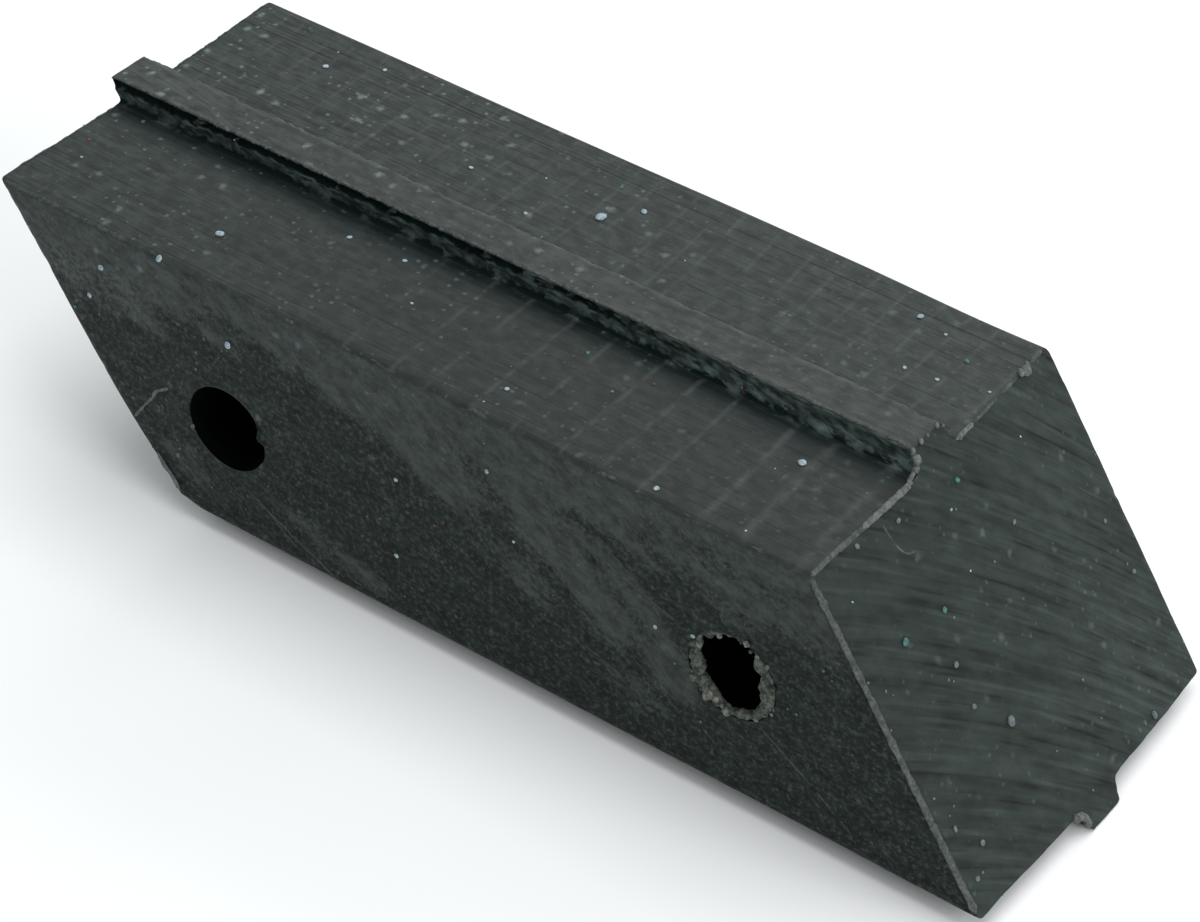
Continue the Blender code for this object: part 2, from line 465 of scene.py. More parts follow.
def wear_body(points, normals, wall, kinds_at):
    """Moves the body's points along their normals, by what made and wore each surface. Returns the
    new points, the torn weight and the weight of painted shade in the groove and crease, for the
    material."""
    skin, sawn, bore = (kinds_at[:, k] > 0 for k in (KIND_SKIN, KIND_SAWN, KIND_BORE))
    x, y, rise = points[:, 0], points[:, 1], points[:, 2] - MID_Z
    moved = 0.05 * lumps(points, (16, 12, 9), 1)
    ribbed = skin & (np.abs(normals[:, 2]) > 0.5)
    plain = skin & (np.abs(normals[:, 1]) > 0.7) & (wall < 0)
    score = 0.012 * lumps(points, (38, 1.05, 3), 2) + 0.006 * lumps(points, (25, 0.6, 3), 6)
    moved += np.where(ribbed, score, 0.0)
    grain = 0.016 * lumps(points, (1.9, 1.9, 1.6), 7) + 0.01 * lumps(points, (0.9, 1, 0.9), 8)
    moved += np.where(plain, grain, 0.0)
    marks = np.zeros(len(points))
    for end_lean, at_end in ((RIGHT_LEAN, x > 0), (LEFT_LEAN, x <= 0)):
        pick = sawn & at_end
        marks[pick] = saw_grooves(y[pick], rise[pick], end_lean)
    moved += np.where(sawn & ~skin, marks, 0.0) + np.where(sawn & skin, 0.5 * marks, 0.0)
    chips = smooth(lumps(points, (0.9, 0.7, 0.8), 9), 0.25, 0.6)
    moved -= np.where(sawn & skin, EDGE_CHIP_DEPTH * chips, 0.0)
    drilled = 0.05 * lumps(points, (1.2, 5, 1.2), 10) + 0.03 * lumps(points, (0.6, 0.8, 0.6), 11)
    moved += np.where(bore & ~skin, drilled, 0.0)
    cx, _, cz = min(HOLES)
    around = np.degrees(np.arctan2(points[:, 2] - cz, x - cx))
    by_mouth = bore & (x < 0) & (y < 0)
    flap = hump(around, NICK_ANGLE, 15) * smooth(y, FRONT_Y + 3.5, FRONT_Y + 0.5)
    scoop = hump(around, NICK_ANGLE - 34, 26) * smooth(y, FRONT_Y + 5, FRONT_Y + 0.2)
    moved += np.where(by_mouth, 0.5 * flap - 0.12 * scoop, 0.0)

    # The rib's walls are torn: a broken groove under the tip's lip, crumbs, and a crease at the
    # foot, all fading towards the right end in front
    on_wall = wall >= 0
    faint = np.where(y < 0, 0.98 * smooth(x, -22, 24), 0.4)
    shallow = np.where(y < 0, 0.55 * smooth(x, 6, 30), 0.4)
    slanted = np.stack([x + 1.3 * wall, y, y], 1)
    ragged = lumps(points, (0.45, 0.3, 0.22), 17) + 0.5 * lumps(points, (0.9, 0.5, 0.4), 18)
    breaks = smooth(lumps(slanted, (1.3, 40, 40), 12) + 0.3 * ragged, -0.5, -0.2)
    sway = 0.09 * lumps(points, (2.6, 40, 40), 13) + 0.1 * ragged
    groove = smooth(np.abs(wall - GROOVE_PLACE - sway), 0.3, 0.14) * breaks * (1 - faint)
    patchy = smooth(lumps(slanted, (1.9, 40, 40), 14) + 0.3 * ragged, -0.4, 0.1)
    from_foot = np.abs(np.abs(y) - FOOT_CREASE_Y - 0.6 * sway)
    crease = smooth(from_foot, 0.52, 0.12) * (0.3 + 0.7 * patchy) * (1 - shallow)
    crumbs = lumps(points, (1.1, 0.6, 0.4), 15) * hump(wall, 0.56, 0.4)
    lip = smooth(wall, 0.14, 0.02) * (0.2 + 0.6 * lumps(points, (0.9, 40, 40), 16))
    torn_move = -GROOVE_DEPTH * groove - CREASE_DEPTH * crease + 0.08 * crumbs + 0.1 * lip
    moved += np.where(on_wall, np.where(sawn, 0.4, 1.0) * torn_move, 0.0)
    # Where painted shade darkens the torn wall's groove and crease
    hollow = np.where(on_wall, np.clip(groove + crease, 0, 1), 0.0)
    torn = np.where(on_wall, smooth(wall, 0.01, 0.08) * smooth(wall, 1.01, 0.98), 0.0)
    out = points + normals * moved[:, None]

    # The top back edge is worn down near the right end
    worn = BACK_EDGE_WEAR * hump(x, 26, 13) * smooth(y, BACK_Y - 1.6, BACK_Y) * smooth(rise, 8, 12)
    out[:, 1] -= worn

    # The lower front corner of the left end is rounded off
    beside = smooth(x - left_x(y, rise), 2.4, 0.0) * smooth(rise, -10.5, -12.7) * smooth(y, -5, -13)
    out[:, 2] += LEFT_CORNER_LIFT * beside
    return round_ends(out), torn, hollow


def add_weights(made, **weights):
    for name, values in weights.items():
        attribute = made.data.attributes.new(name, "FLOAT", "POINT")
        attribute.data.foreach_set("value", np.asarray(values, np.float32))


def block_body(materials):
    points, faces, kinds, wall = body_shell()
    made = new_object("worn_rubber_body", points, faces, materials)
    made.data.polygons.foreach_set("material_index", kinds)
    tidy_normals(made)
    kinds_at = np.zeros((len(points), 3))
    for face, kind in zip(faces, kinds):
        kinds_at[face, kind] = 1
    normals = read_vectors(made.data.vertices, "normal")
    points, torn, hollow = wear_body(points, normals, wall, kinds_at)
    made.data.vertices.foreach_set("co", (points * MM).ravel())
    add_weights(made, torn=torn, hollow=hollow)
    made.data.update()
    made.data.shade_smooth()
    made.data.set_sharp_from_angle(angle=SHARP_ANGLE)
    return made


# ---------------------------------------------------------------- burrs, tears and dust


class Surface:
    """The finished body's surface, to lay small things on."""

    def __init__(self, body):
        points = [v.co / MM for v in body.data.vertices]
        faces = [tuple(p.vertices) for p in body.data.polygons]
        self.tree = BVHTree.FromPolygons(points, faces)

    def nearest(self, point):
        place, normal, _, _ = self.tree.find_nearest(Vector(point))
        return np.array(place), np.array(normal)


def ball(steps):
    """A round lump's points on a unit sphere and its faces."""
    bm = bmesh.new()
    bmesh.ops.create_icosphere(bm, subdivisions=steps, radius=1.0)
    bm.verts.ensure_lookup_table()
    points = np.array([tuple(v.co) for v in bm.verts])
    faces = [[v.index for v in f.verts] for f in bm.faces]
    bm.free()
    return points, faces


BALL_POINTS, BALL_FACES = ball(2)
RIDGE_SIDES = 10
RIDGE_STEP = 0.11


def frame_of(normal, along):
    """Three unit vectors: along the surface, across it, and its normal."""
    normal = normal / np.linalg.norm(normal)
    along = np.asarray(along, float) - np.dot(along, normal) * normal
    if np.linalg.norm(along) < 1e-3:
        along = np.cross(normal, (0.0, 1.0, 0.3))
    along = along / np.linalg.norm(along)
    return along, np.cross(normal, along), normal


def resampled(path, step):
    """Points about step apart along a smooth curve through the path's points."""
    path = np.asarray(path, float)
    count = len(path)
    length = np.linalg.norm(np.diff(path, axis=0), axis=1).sum()
    out = []
    for spot in np.linspace(0, count - 1, max(4, int(length / step))):
        i = min(int(spot), count - 2)
        t = spot - i
        a, b, c, d = (path[min(max(i + k, 0), count - 1)] for k in (-1, 0, 1, 2))
        squared = (2 * a - 5 * b + 4 * c - d) * t * t
        cubed = (3 * b - a - 3 * c + d) * t**3
        out.append(0.5 * (2 * b + (c - a) * t + squared + cubed))
    return np.array(out)


class Pile:
    """Points and faces of many small lumps that make one piece, most of them laid on a surface."""

    def __init__(self, surface):
        self.surface = surface
        self.points = []
        self.faces = []
        self.kinds = []

    def add(self, points, faces, kind=0):
        """Kind is the lump's material index."""
        start = len(self.points)
        self.points += [tuple(p) for p in points]
        self.faces += [[i + start for i in face] for face in faces]
        self.kinds += [kind] * len(faces)

    def crumb(self, place, radius, seed, kind=0, flat=0.6, sunk=0.25):
        """A craggy lump on the surface at the nearest point to place."""
        spot, normal = self.surface.nearest(place)
        along, across, out = frame_of(normal, (math.cos(seed * 2.4), math.sin(seed * 2.4), 0.3))
        crags = 1 + 0.25 * lumps(BALL_POINTS, (0.8, 0.8, 0.8), seed + 40)
        shaped = BALL_POINTS * crags[:, None] * radius
        longer = 1.0 + 0.12 * math.sin(seed * 5.1)
        u, v, w = shaped[:, :1], shaped[:, 1:2], shaped[:, 2:]
        lumpy = u * along * longer + v * across / longer + w * out * flat
        self.add(spot + lumpy + out * radius * flat * (1 - 2 * sunk), BALL_FACES, kind)

    def ridge(self, path, width, height, seed, kind=0, ragged=0.35, gaps=0.0, rough=0.15):
        """A lumpy raised line on the surface through the path's points: a burr, a torn lip or a
        frayed scratch. Gaps is the share of its length that thins away."""
        snapped = [self.surface.nearest(p) for p in resampled(path, RIDGE_STEP)]
        spots = np.array([s[0] for s in snapped])
        count = len(spots)
        share = np.linspace(0, 1, count)
        taper = min(0.2, 5 / count)
        swell = 1 + ragged * (lumps(spots, (0.9,) * 3, seed) + lumps(spots, (0.4,) * 3, seed + 1))
        size = np.clip(swell, 0.2, 2) * smooth(share, 0, taper) * smooth(share, 1, 1 - taper)
        if gaps:
            size *= smooth(lumps(spots, (1.3,) * 3, seed + 2), gaps * 2 - 1.15, gaps * 2 - 0.85)
        angles = np.arange(RIDGE_SIDES) * 2 * math.pi / RIDGE_SIDES
        rounds = np.stack([np.cos(angles) * width / 2, np.sin(angles) * height], 1)
        points = []
        for (spot, normal), tangent, k in zip(snapped, np.gradient(spots, axis=0), size):
            _, across, out = frame_of(normal, tangent)
            points += [spot + (across * u + out * v) * k for u, v in rounds]
        points = np.array(points)
        middle = np.repeat(spots, RIDGE_SIDES, 0)
        bumps = lumps(points, (0.25,) * 3, seed + 3)
        points = middle + (points - middle) * (1 + rough * bumps)[:, None]
        points = np.concatenate([points, spots[:1], spots[-1:]])
        faces = grid_faces(count, RIDGE_SIDES)
        last = (count - 1) * RIDGE_SIDES
        for a in range(0, last, RIDGE_SIDES):
            b = a + RIDGE_SIDES
            faces.append((b - 1, a, b, b + RIDGE_SIDES - 1))
        first_tip = last + RIDGE_SIDES
        for j in range(RIDGE_SIDES):
            n = (j + 1) % RIDGE_SIDES
            faces.append((n, j, first_tip))
            faces.append((last + j, last + n, first_tip + 1))
        self.add(points, faces, kind)

    def make(self, name, materials):
        made = new_object(name, self.points, self.faces, materials)
        made.data.polygons.foreach_set("material_index", self.kinds)
        tidy_normals(made)
        made.data.shade_smooth()
        return made


def on_front(*spots):
    """Points on the front face at each (x, height above the middle)."""
    return [(x, FRONT_Y, MID_Z + rise) for x, rise in spots]


def on_right_end(*spots):
    """Points on the right end at each (depth, height above the middle)."""
    return [(right_x(y, rise), y, MID_Z + rise) for y, rise in spots]


# Runs of burr along the right end's top edge: depths, width, height, seed and material
TOP_EDGE_BURRS = (
    ((FRONT_Y + 0.2, -14.0, -11.0, -8.0), 0.46, 0.05, 52, 1),
    ((-13.4, -12.5, -11.5), 0.5, 0.1, 57, 1),
    ((-10.2, -8.8, -7.4, -5.8, -4.4, -3.7), 0.52, 0.15, 53, 0),
    ((2.7, 3.6, 4.6, 5.4), 0.44, 0.17, 55, 0),
    ((5.4, 7.6, 9.0), 0.26, 0.04, 58, 1),
    ((9.6, 11.0, 12.2), 0.26, 0.04, 56, 1),
    ((14.4, 15.4, 16.3), 0.36, 0.07, 60, 1),
)
# Blobs of burr on the end's top edge and rib: depth, height above the ledge, radius
RIB_END_BLOBS = (
    (-2.3, 0.9, 0.5), (-2.7, 0.5, 0.34), (-3.7, 0.05, 0.26), (-2.0, 1.5, 0.28), (-0.7, 1.55, 0.24),
    (0.2, 1.55, 0.18), (1.6, 1.55, 0.22), (2.2, 1.3, 0.16), (3.2, -0.1, 0.26), (12.7, -0.05, 0.36),
    (13.3, -0.2, 0.52), (13.9, 0.0, 0.26),
)


def right_end_burrs(pile):
    """Pale frayed rubber that the saw left along two edges of the right end. Its second material is
    the duller one, for the upright edge."""
    rises = np.linspace(HALF_HEIGHT - 0.2, -12.2, 22)
    upright = on_right_end(*[(FRONT_Y + 0.12, r) for r in rises])
    pile.ridge(upright, 0.56, 0.06, 51, 1, 0.22, rough=0.06)
    for depths, width, height, seed, kind in TOP_EDGE_BURRS:
        path = on_right_end(*[(y, HALF_HEIGHT - 0.08) for y in depths])
        pile.ridge(path, width, height, seed, kind, 0.22, rough=0.1)
    ledge = HALF_HEIGHT
    corner = on_right_end((-3.8, ledge), (-2.7, ledge + 0.9), (-2.1, ledge + RIB_RISE))
    pile.ridge(corner, 0.42, 0.16, 54, 0, 0.25, rough=0.1)
    for y, above, radius in RIB_END_BLOBS:
        pile.crumb(on_right_end((y, ledge + above))[0], radius, int(y * 10) + 40)
    branch = on_right_end((-8.2, 12.0), (-7.9, 10.4), (-7.3, 9.4), (-6.3, 9.0))
    pile.ridge(branch, 0.16, 0.015, 62, 1, 0.4, 0.55, 0.1)


def rib_edge_burrs(pile):
    """The ragged lip of frayed rubber along the top rib, over its torn front wall."""
    y, z = 0.26 - RIB_TIP_WIDTH / 2, MID_Z + HALF_HEIGHT + RIB_RISE - 0.03
    lip = [(x, y, z) for x in np.linspace(LEFT_END_X + 1.2, 30.6, 40)]
    pile.ridge(lip, 0.32, 0.12, 31, 0, 0.55, 0.35, 0.25)


def edge_dashes(pile):
    """Light frayed dashes along the top front edge, thickest near the left end, and along the left
    end's top edge."""
    edge_y, edge_z = FRONT_Y + 0.15, LEDGE_TOP - 0.12
    left = [(x, edge_y, edge_z) for x in np.linspace(-48.2, -34.5, 8)]
    pile.ridge(left, 0.34, 0.05, 38, 0, 0.4, 0.3)
    rest = [(x, edge_y + 0.14 * math.sin(1.9 * x), edge_z) for x in np.linspace(-33.5, 31.0, 80)]
    pile.ridge(rest, 0.26, 0.02, 42, 0, 0.8, 0.66, 0.3)
    for low, high, seed in ((-16.0, -3.6, 45), (3.6, 16.4, 48)):
        depths = np.linspace(low, high, 12)
        end = [(float(left_x(y, HALF_HEIGHT)) + 0.15, y, LEDGE_TOP) for y in depths]
        pile.ridge(end, 0.3, 0.07, seed, 0, 0.5, 0.4)


def bottom_rib_flake(pile):
    """A flake of burr on the front wall of the bottom rib at the right end."""
    low = -HALF_HEIGHT
    pile.ridge(on_right_end((-3.6, low - 0.1), (-2.9, low - 0.5), (-2.4, low - 1.1)), 0.8, 0.3, 61)
    pile.crumb(on_right_end((-2.7, low - 0.9))[0], 0.42, 6)


BURR_SPOKES = 170
BURR_SIDES = 16
BURR_CRUMBS = 46


def burr_width(a):
    """How wide the ring of burr in the right hole's mouth is at angle a: widest at the right, wide
    at the lower left and thinnest at the top."""
    spot = Vector((3 * math.cos(a), 3 * math.sin(a), 3.7))
    ragged = 0.2 * noise.noise(spot * 0.6) + 0.42 * noise.noise(spot * 1.5)
    degrees = math.degrees(a)
    turned = (degrees + 180) % 360
    thick = 0.85 * hump(turned, 180, 80) + 0.5 * hump(degrees, 216, 80)
    thick += 0.45 * hump(degrees, 44, 16) + 0.3 * hump(turned, 190, 12)
    return max(0.3, 0.6 + float(thick - 0.2 * hump(degrees, 95, 60)) + ragged)


def right_hole_burr(pile):
    """The ragged ring of torn rubber in the right hole's front mouth."""
    cx, _, cz = max(HOLES)
    points = []
    for a in np.arange(BURR_SPOKES) * 2 * math.pi / BURR_SPOKES:
        width = burr_width(a)
        middle = HOLE_RADIUS + 0.12 - width / 2
        for b in np.arange(BURR_SIDES) * 2 * math.pi / BURR_SIDES:
            r = middle + width / 2 * math.cos(b)
            depth = FRONT_Y + 0.32 - 0.4 * math.sin(b) * (0.55 + 0.45 * width)
            points.append((cx + r * math.cos(a), depth, cz + r * math.sin(a)))
    points = np.array(points)
    away = points - np.array([cx, FRONT_Y + 0.4, cz])
    away /= np.linalg.norm(away, axis=1)[:, None]
    crags = 0.16 * lumps(points, (0.5, 0.5, 0.5), 71) + 0.1 * lumps(points, (0.24, 0.24, 0.24), 72)
    points -= np.array([0.0, 1.0, 0.0]) * np.clip(crags, -0.1, 0.3)[:, None]
    points += away * (0.7 * crags)[:, None] * [1.0, 0.0, 1.0]
    faces = []
    for i in range(BURR_SPOKES):
        here, after = i * BURR_SIDES, (i + 1) % BURR_SPOKES * BURR_SIDES
        for j in range(BURR_SIDES):
            n = (j + 1) % BURR_SIDES
            faces.append((here + j, here + n, after + n, after + j))
    pile.add(points, faces)
    for seed in range(BURR_CRUMBS):
        # Thickest at the lower left and down the right side
        angles = random.gauss(235, 34), random.gauss(350, 34), random.uniform(0, 360)
        a = math.radians(random.choice(angles))
        radius = random.uniform(3.2, 4.25)
        size = random.uniform(0.12, 0.4)
        y = FRONT_Y + random.uniform(-0.1, 0.2)
        spot = np.array([cx + radius * math.cos(a), y, cz + radius * math.sin(a)])
        loose = BALL_POINTS * (1 + 0.4 * lumps(BALL_POINTS, (0.7, 0.7, 0.7), seed + 80))[:, None]
        pile.add(spot + loose * size * np.array([1.0, 0.7, 1.0]), BALL_FACES, seed % 2)


# The crack and the peeled sliver by the left end: X and height of each point, width, height off the
# surface, seed and raggedness
LEFT_TEARS = (
    (((-31.0, -0.8), (-31.7, -1.3), (-32.5, -1.9), (-33.0, -2.9)), 0.32, 0.1, 81, 0.4),
    (((-32.8, -2.6), (-33.6, -3.6), (-34.4, -4.7), (-35.3, -6.0)), 0.24, 0.08, 84, 0.4),
    (((-32.9, -8.5), (-32.0, -9.6), (-31.2, -10.4), (-30.5, -11.5)), 0.26, 0.26, 87, 0.2),
)
SCUFFS = (
    ((28.8, -4.6), (33.0, -7.4), (37.4, -10.6)),
    ((-23.0, -7.4), (-18.5, -9.8), (-13.2, -12.4)),
    ((6.9, 7.5), (14.0, 4.2), (21.9, 1.4)),
    ((-21.2, -8.3), (-17.6, -11.2)),
    ((-12.8, -10.2), (-11.9, -11.3), (-10.6, -11.5)),
    ((11.9, -2.0), (13.2, -3.2)),
)


def left_tears(pile):
    """The crack and the peeled sliver by the left end, and a crumb on the left hole's rim."""
    for spots, width, height, seed, ragged in LEFT_TEARS:
        pile.ridge(on_front(*spots), width, height, seed, 0, ragged, rough=0.1)
    cx, _, cz = min(HOLES)
    a = math.radians(202)
    pile.crumb((cx + 4.1 * math.cos(a), FRONT_Y, cz + 4.1 * math.sin(a)), 0.24, 7)
    pile.crumb(on_front((-30.4, -7.6))[0], 0.24, 8)
    pile.crumb(on_front((-30.2, -6.8))[0], 0.13, 9)


def front_scuffs(pile):
    """Hairline frayed scratches on the front face."""
    for i, spots in enumerate(SCUFFS):
        pile.ridge(on_front(*spots), 0.16, 0.025, 90 + 4 * i, 0, 0.4, 0.3)


PALE, TEAL, RUST, DULL = 0, 1, 2, 3

# Large specks: two coordinates over the face, radius and material
TOP_SPECKS = (
    (-6.2, 8.9, 0.46, PALE), (-3.9, 11.7, 0.28, PALE), (21.6, 13.8, 0.27, PALE),
    (-37.9, 11.9, 0.27, PALE), (-33.6, 14.6, 0.2, PALE), (-29.1, -11.8, 0.36, PALE),
    (24.5, -6.8, 0.34, PALE), (-20.6, -5.7, 0.22, PALE), (-15.1, -5.4, 0.2, PALE),
    (17.6, -15.9, 0.24, PALE), (27.0, 7.9, 0.18, PALE), (24.2, 7.6, 0.18, PALE),
    (-18.9, 7.9, 0.2, PALE), (-11.4, 5.6, 0.18, PALE), (1.5, -13.4, 0.2, PALE),
    (27.6, 11.2, 0.24, TEAL), (-46.4, -8.5, 0.18, RUST), (10.1, -6.0, 0.16, RUST),
    (3.7, -6.0, 0.18, TEAL), (8.1, -8.7, 0.15, TEAL), (-7.4, 13.3, 0.16, TEAL),
)
FRONT_SPECKS = (
    (-31.0, 12.5, 0.3, PALE), (-37.6, 8.6, 0.28, PALE), (-39.2, 5.0, 0.24, PALE),
    (-24.0, 7.1, 0.34, PALE), (2.4, 7.4, 0.2, PALE), (-6.8, 1.8, 0.2, PALE),
    (-6.9, -6.2, 0.22, PALE), (18.7, 0.3, 0.2, PALE), (-2.9, -0.9, 0.15, RUST),
    (5.0, 1.6, 0.14, PALE), (22.2, 1.3, 0.2, PALE), (-41.0, 3.0, 0.16, TEAL),
)
END_SPECKS = (
    (-5.1, -4.2, 0.34, DULL), (9.8, -12.0, 0.24, DULL), (-7.7, 1.4, 0.2, DULL),
    (-6.3, 4.7, 0.2, TEAL), (-11.4, 5.0, 0.24, TEAL), (-7.9, -1.6, 0.18, DULL),
    (-15.1, -6.8, 0.18, DULL), (14.9, -3.6, 0.17, DULL), (14.3, 0.6, 0.16, DULL),
    (4.6, 5.6, 0.16, DULL), (-11.5, 12.0, 0.18, DULL), (-6.6, 11.4, 0.18, DULL),
    (0.9, 10.6, 0.2, TEAL), (-13.2, -8.9, 0.2, DULL), (-15.3, -10.4, 0.18, DULL),
)
SMALL_SPECKS = 150
END_SPECK_GROWTH = 1.3


def small_speck():
    """A random place on the block, and the radius and material of a small speck there."""
    x = random.uniform(LEFT_END_X, RIGHT_END_X)
    y = random.uniform(FRONT_Y, BACK_Y)
    rise = random.uniform(-HALF_HEIGHT, HALF_HEIGHT)
    face = random.choice(("top", "bottom", "front", "back", "left", "right"))
    z = MID_Z + rise
    spot = {
        "top": (x, y, LEDGE_TOP),
        "bottom": (x, y, LEDGE_BOTTOM),
        "front": (x, FRONT_Y, z),
        "back": (x, BACK_Y, z),
        "left": (float(left_x(y, rise)), y, z),
        "right": (float(right_x(y, rise)), y, z),
    }[face]
    luck = random.random()
    plain = PALE if face == "top" else DULL
    kind = TEAL if luck > 0.93 else RUST if luck < 0.05 else plain
    return spot, random.uniform(0.07, 0.14), kind


def dust_specks(pile):
    """Specks of pale dust, with a few teal and rust ones: the large ones in the places where they
    lie on the real block, and small ones at random all round it."""
    specks = [((x, y, LEDGE_TOP), size, kind) for x, y, size, kind in TOP_SPECKS]
    specks += [(on_front((x, r))[0], size, kind) for x, r, size, kind in FRONT_SPECKS]
    for y, rise, size, kind in END_SPECKS:
        specks.append((on_right_end((y, rise))[0], size * END_SPECK_GROWTH, kind))
    specks += [small_speck() for _ in range(SMALL_SPECKS)]
    for seed, (spot, size, kind) in enumerate(specks, 100):
        pile.crumb(spot, size, seed, kind, 0.4, 0.2)


# ---------------------------------------------------------------- materials


class Graph:
    """A material's node tree with short calls for the nodes that the looks need."""

    def __init__(self, name):
        self.material = bpy.data.materials.new(name)
        self.material.use_nodes = True
        self.tree = self.material.node_tree
        self.shader = self.tree.nodes["Principled BSDF"]
        coordinates = self.add("TexCoord")
        self.place = self.stretched(coordinates.outputs["Object"], (1 / MM,) * 3)
        self.flat = self.place

    def add(self, kind, sockets=(), **settings):
        """A node with its settings, and a value for each socket that is named or numbered."""
        node = self.tree.nodes.new("ShaderNode" + kind)
        for name, value in settings.items():
            setattr(node, name, value)
        for name, value in dict(sockets).items():
            self.put(value, node.inputs[name])
        return node

    def put(self, value, socket):
        """Links a socket, or sets a number, a vector or a colour."""
        if isinstance(value, bpy.types.NodeSocket):
            self.tree.links.new(value, socket)
        else:
            socket.default_value = (*value, 1.0) if socket.type == "RGBA" else value

    def stretched(self, vector, scale, shift=(0, 0, 0)):
        sockets = {"Vector": vector, "Scale": scale, "Location": shift}
        return self.add("Mapping", sockets).outputs[0]

    def cloud(self, vector, detail, roughness, bend=0.0, dimensions="3D"):
        sockets = {"Vector": vector, "Scale": 1.0, "Detail": detail, "Roughness": roughness}
        sockets["Distortion"] = bend
        return self.add("TexNoise", sockets, noise_dimensions=dimensions).outputs["Fac"]

    def noise(self, size, detail=2.0, roughness=0.5, shift=(0, 0, 0)):
        """Noise from 0 to 1 whose lumps measure about size, in millimetres, along X, Y and Z."""
        vector = self.stretched(self.place, tuple(1 / s for s in size), shift)
        return self.cloud(vector, detail, roughness)

    def lay(self, u, v):
        """Sets the two coordinates, in millimetres over the surface, that flat patterns use."""
        self.flat = self.add("CombineXYZ", {0: u, 1: v}).outputs[0]

    def flat_noise(self, length, width, detail=2.0, roughness=0.6, shift=0.0, turn=0.0, bend=0.0):
        """Noise from 0 to 1 over the surface. Its lumps measure length by width, and turn is the
        angle of their length in degrees."""
        sockets = {
            "Vector": self.flat,
            "Location": (shift * 3.7, shift * 5.3, 0),
            "Rotation": (0, 0, math.radians(turn)),
            "Scale": (length, width, 1),
        }
        laid = self.add("Mapping", sockets, vector_type="TEXTURE")
        return self.cloud(laid.outputs[0], detail, roughness, bend, "2D")

    def remap(self, value, low, high, out_low=0.0, out_high=1.0):
        """A smooth change from out_low at low to out_high at high; low may be the larger."""
        sockets = enumerate((value, low, high, out_low, out_high))
        return self.add("MapRange", sockets, interpolation_type="SMOOTHSTEP").outputs[0]

    def spread(self, noise_value, low, high):
        """Noise turned into a number from low to high."""
        return self.remap(noise_value, 0.3, 0.7, low, high)

    def math(self, operation, a, b=0.0, c=0.0):
        return self.add("Math", enumerate((a, b, c)), operation=operation).outputs[0]

    def joined(self, operation, first, *others):
        for other in others:
            first = self.math(operation, first, other)
        return first

    def times(self, *values):
        return self.joined("MULTIPLY", *values)

    def plus(self, *values):
        return self.joined("ADD", *values)

    def most(self, *values):
        return self.joined("MAXIMUM", *values)

    def line(self, coordinate, centre, reach, core=0.0, *ends):
        """A soft stripe round centre: it starts at reach from it and is full at core."""
        away = self.math("ABSOLUTE", self.math("SUBTRACT", coordinate, centre))
        return self.remap(away, reach, core, *ends)

    def mix(self, share, a, b):
        return self.add("Mix", {0: share, 6: a, 7: b}, data_type="RGBA").outputs[2]

    def scaled(self, colour, factor):
        """The colour multiplied by a number."""
        sockets = {0: colour, "Scale": factor}
        return self.add("VectorMath", sockets, operation="SCALE").outputs[0]

    def between(self, share, a, b):
        """The number a where share is 0 and b where it is 1, as a grey."""
        return self.mix(share, self.scaled((1, 1, 1), a), self.scaled((1, 1, 1), b))

    def axes(self, vector=None):
        node = self.add("SeparateXYZ", {0: self.place if vector is None else vector})
        return tuple(node.outputs)

    def patch(self, centre, half, tilt):
        """1 in the middle of an ellipsoid with the given centre and half sizes, 0 outside it. Tilt
        is its turn about Y in degrees."""
        sockets = {"Vector": self.place, "Location": centre, "Scale": half}
        sockets["Rotation"] = (0, math.radians(-tilt), 0)
        node = self.add("Mapping", sockets, vector_type="TEXTURE")
        length = self.add("VectorMath", {0: node.outputs[0]}, operation="LENGTH")
        return self.remap(length.outputs["Value"], 1.0, 0.25)

    def weight(self, name):
        return self.add("Attribute", attribute_name=name).outputs["Fac"]

    def bump(self, height, distance):
        """A bump from a height of 0 to 1 that stands for distance millimetres."""
        sockets = {"Strength": 1.0, "Distance": distance * MM, "Height": height}
        return self.add("Bump", sockets).outputs[0]

    def finish(self, colour, roughness, normal=None, specular=0.12):
        sockets = {"Base Color": colour, "Roughness": roughness, "Metallic": 0.0}
        sockets["Specular IOR Level"] = specular
        if normal is not None:
            sockets["Normal"] = normal
        for name, value in sockets.items():
            self.put(value, self.shader.inputs[name])
        return self.material


RIBBED_COLOUR = (0.0462, 0.0572, 0.0522)
FOOT_COLOUR = (0.0330, 0.0585, 0.0545)
RIB_TIP_COLOUR = (0.0565, 0.0660, 0.0613)
CROSS_COLOUR = (0.115, 0.122, 0.12)
PLAIN_COLOUR = (0.0060, 0.0120, 0.0092)
# The smears' colour, also the painted light in the band under the top edge
SMEAR_AND_PAINTED_LIGHT_COLOUR = (0.0340, 0.0440, 0.0405)
FLECK_COLOUR = (0.0560, 0.0700, 0.0600)
SAWN_COLOUR = (0.0210, 0.0288, 0.0256)
TORN_COLOUR = (0.0175, 0.0250, 0.0230)
# Painted shade for the groove and crease of the torn rib wall
GROOVE_SHADE_COLOUR = (0.0003, 0.0045, 0.0040)
# Painted shade deep in the bores
BORE_SHADE_COLOUR = (0.0009, 0.0014, 0.0013)
SCRATCH_COLOUR = (0.006, 0.016, 0.011)
DUST_COLOUR = (0.22, 0.27, 0.29)
TEAL_DUST_COLOUR = (0.09, 0.19, 0.185)
RUST_DUST_COLOUR = (0.13, 0.07, 0.06)
FLOOR_COLOUR = (0.86, 0.865, 0.865)

